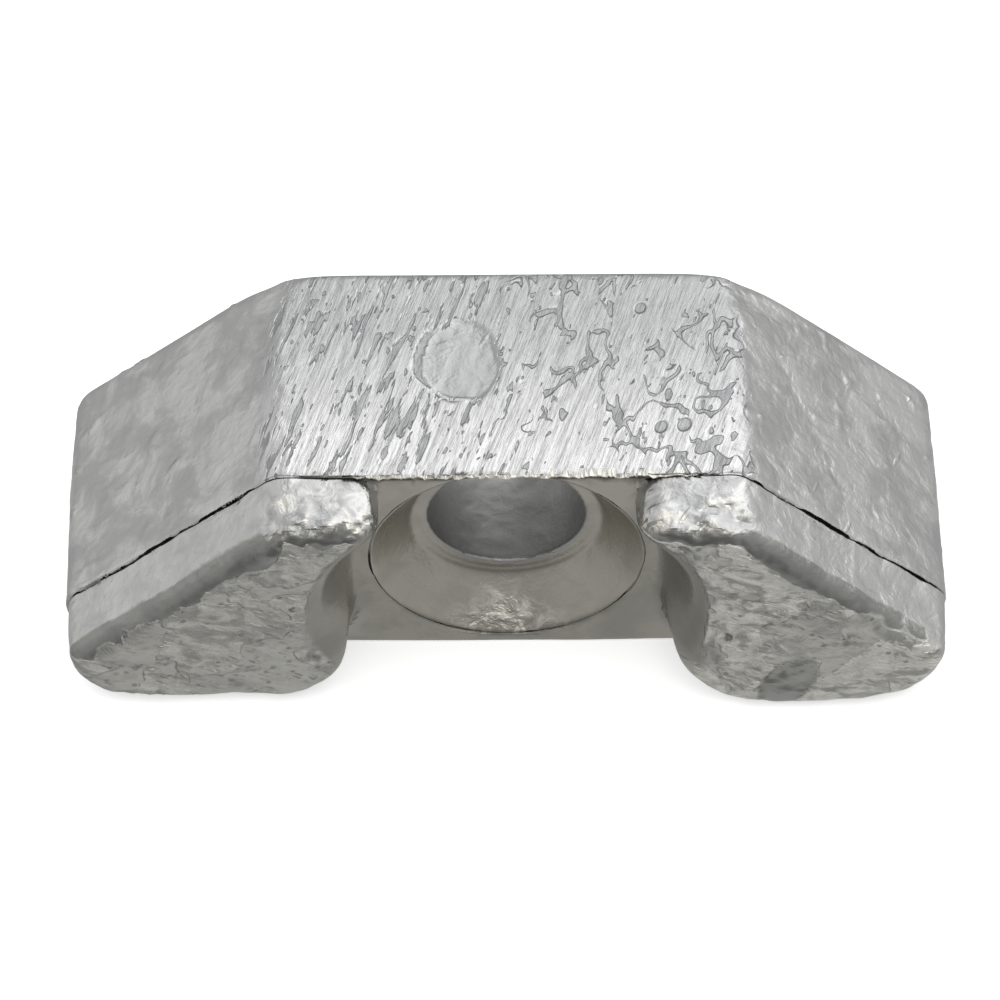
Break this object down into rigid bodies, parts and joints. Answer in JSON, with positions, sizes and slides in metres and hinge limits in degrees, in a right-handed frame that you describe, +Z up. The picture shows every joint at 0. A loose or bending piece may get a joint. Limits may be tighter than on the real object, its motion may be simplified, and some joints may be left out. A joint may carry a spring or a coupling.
{
  "type": "sacrificial anode",
  "caption": "Cast sacrificial anode: a shouldered block with a countersunk bolt hole between raised pads, bolted to marine metalwork to corrode in its place.",
  "frame": {"origin": "bolt-hole axis at the seat face", "axes": "-Y along the bolt hole, out of its countersink; +X the long way across; +Z up from the flat long face that it lies on"},
  "size_m": [0.0508, 0.0194, 0.0166],
  "materials": {
    "cast_metal": "rough as-cast metal, bare and silver-grey"
  },
  "bodies": {
    "root": {"anode_casting": "cast_metal"}
  },
  "joints": []
}
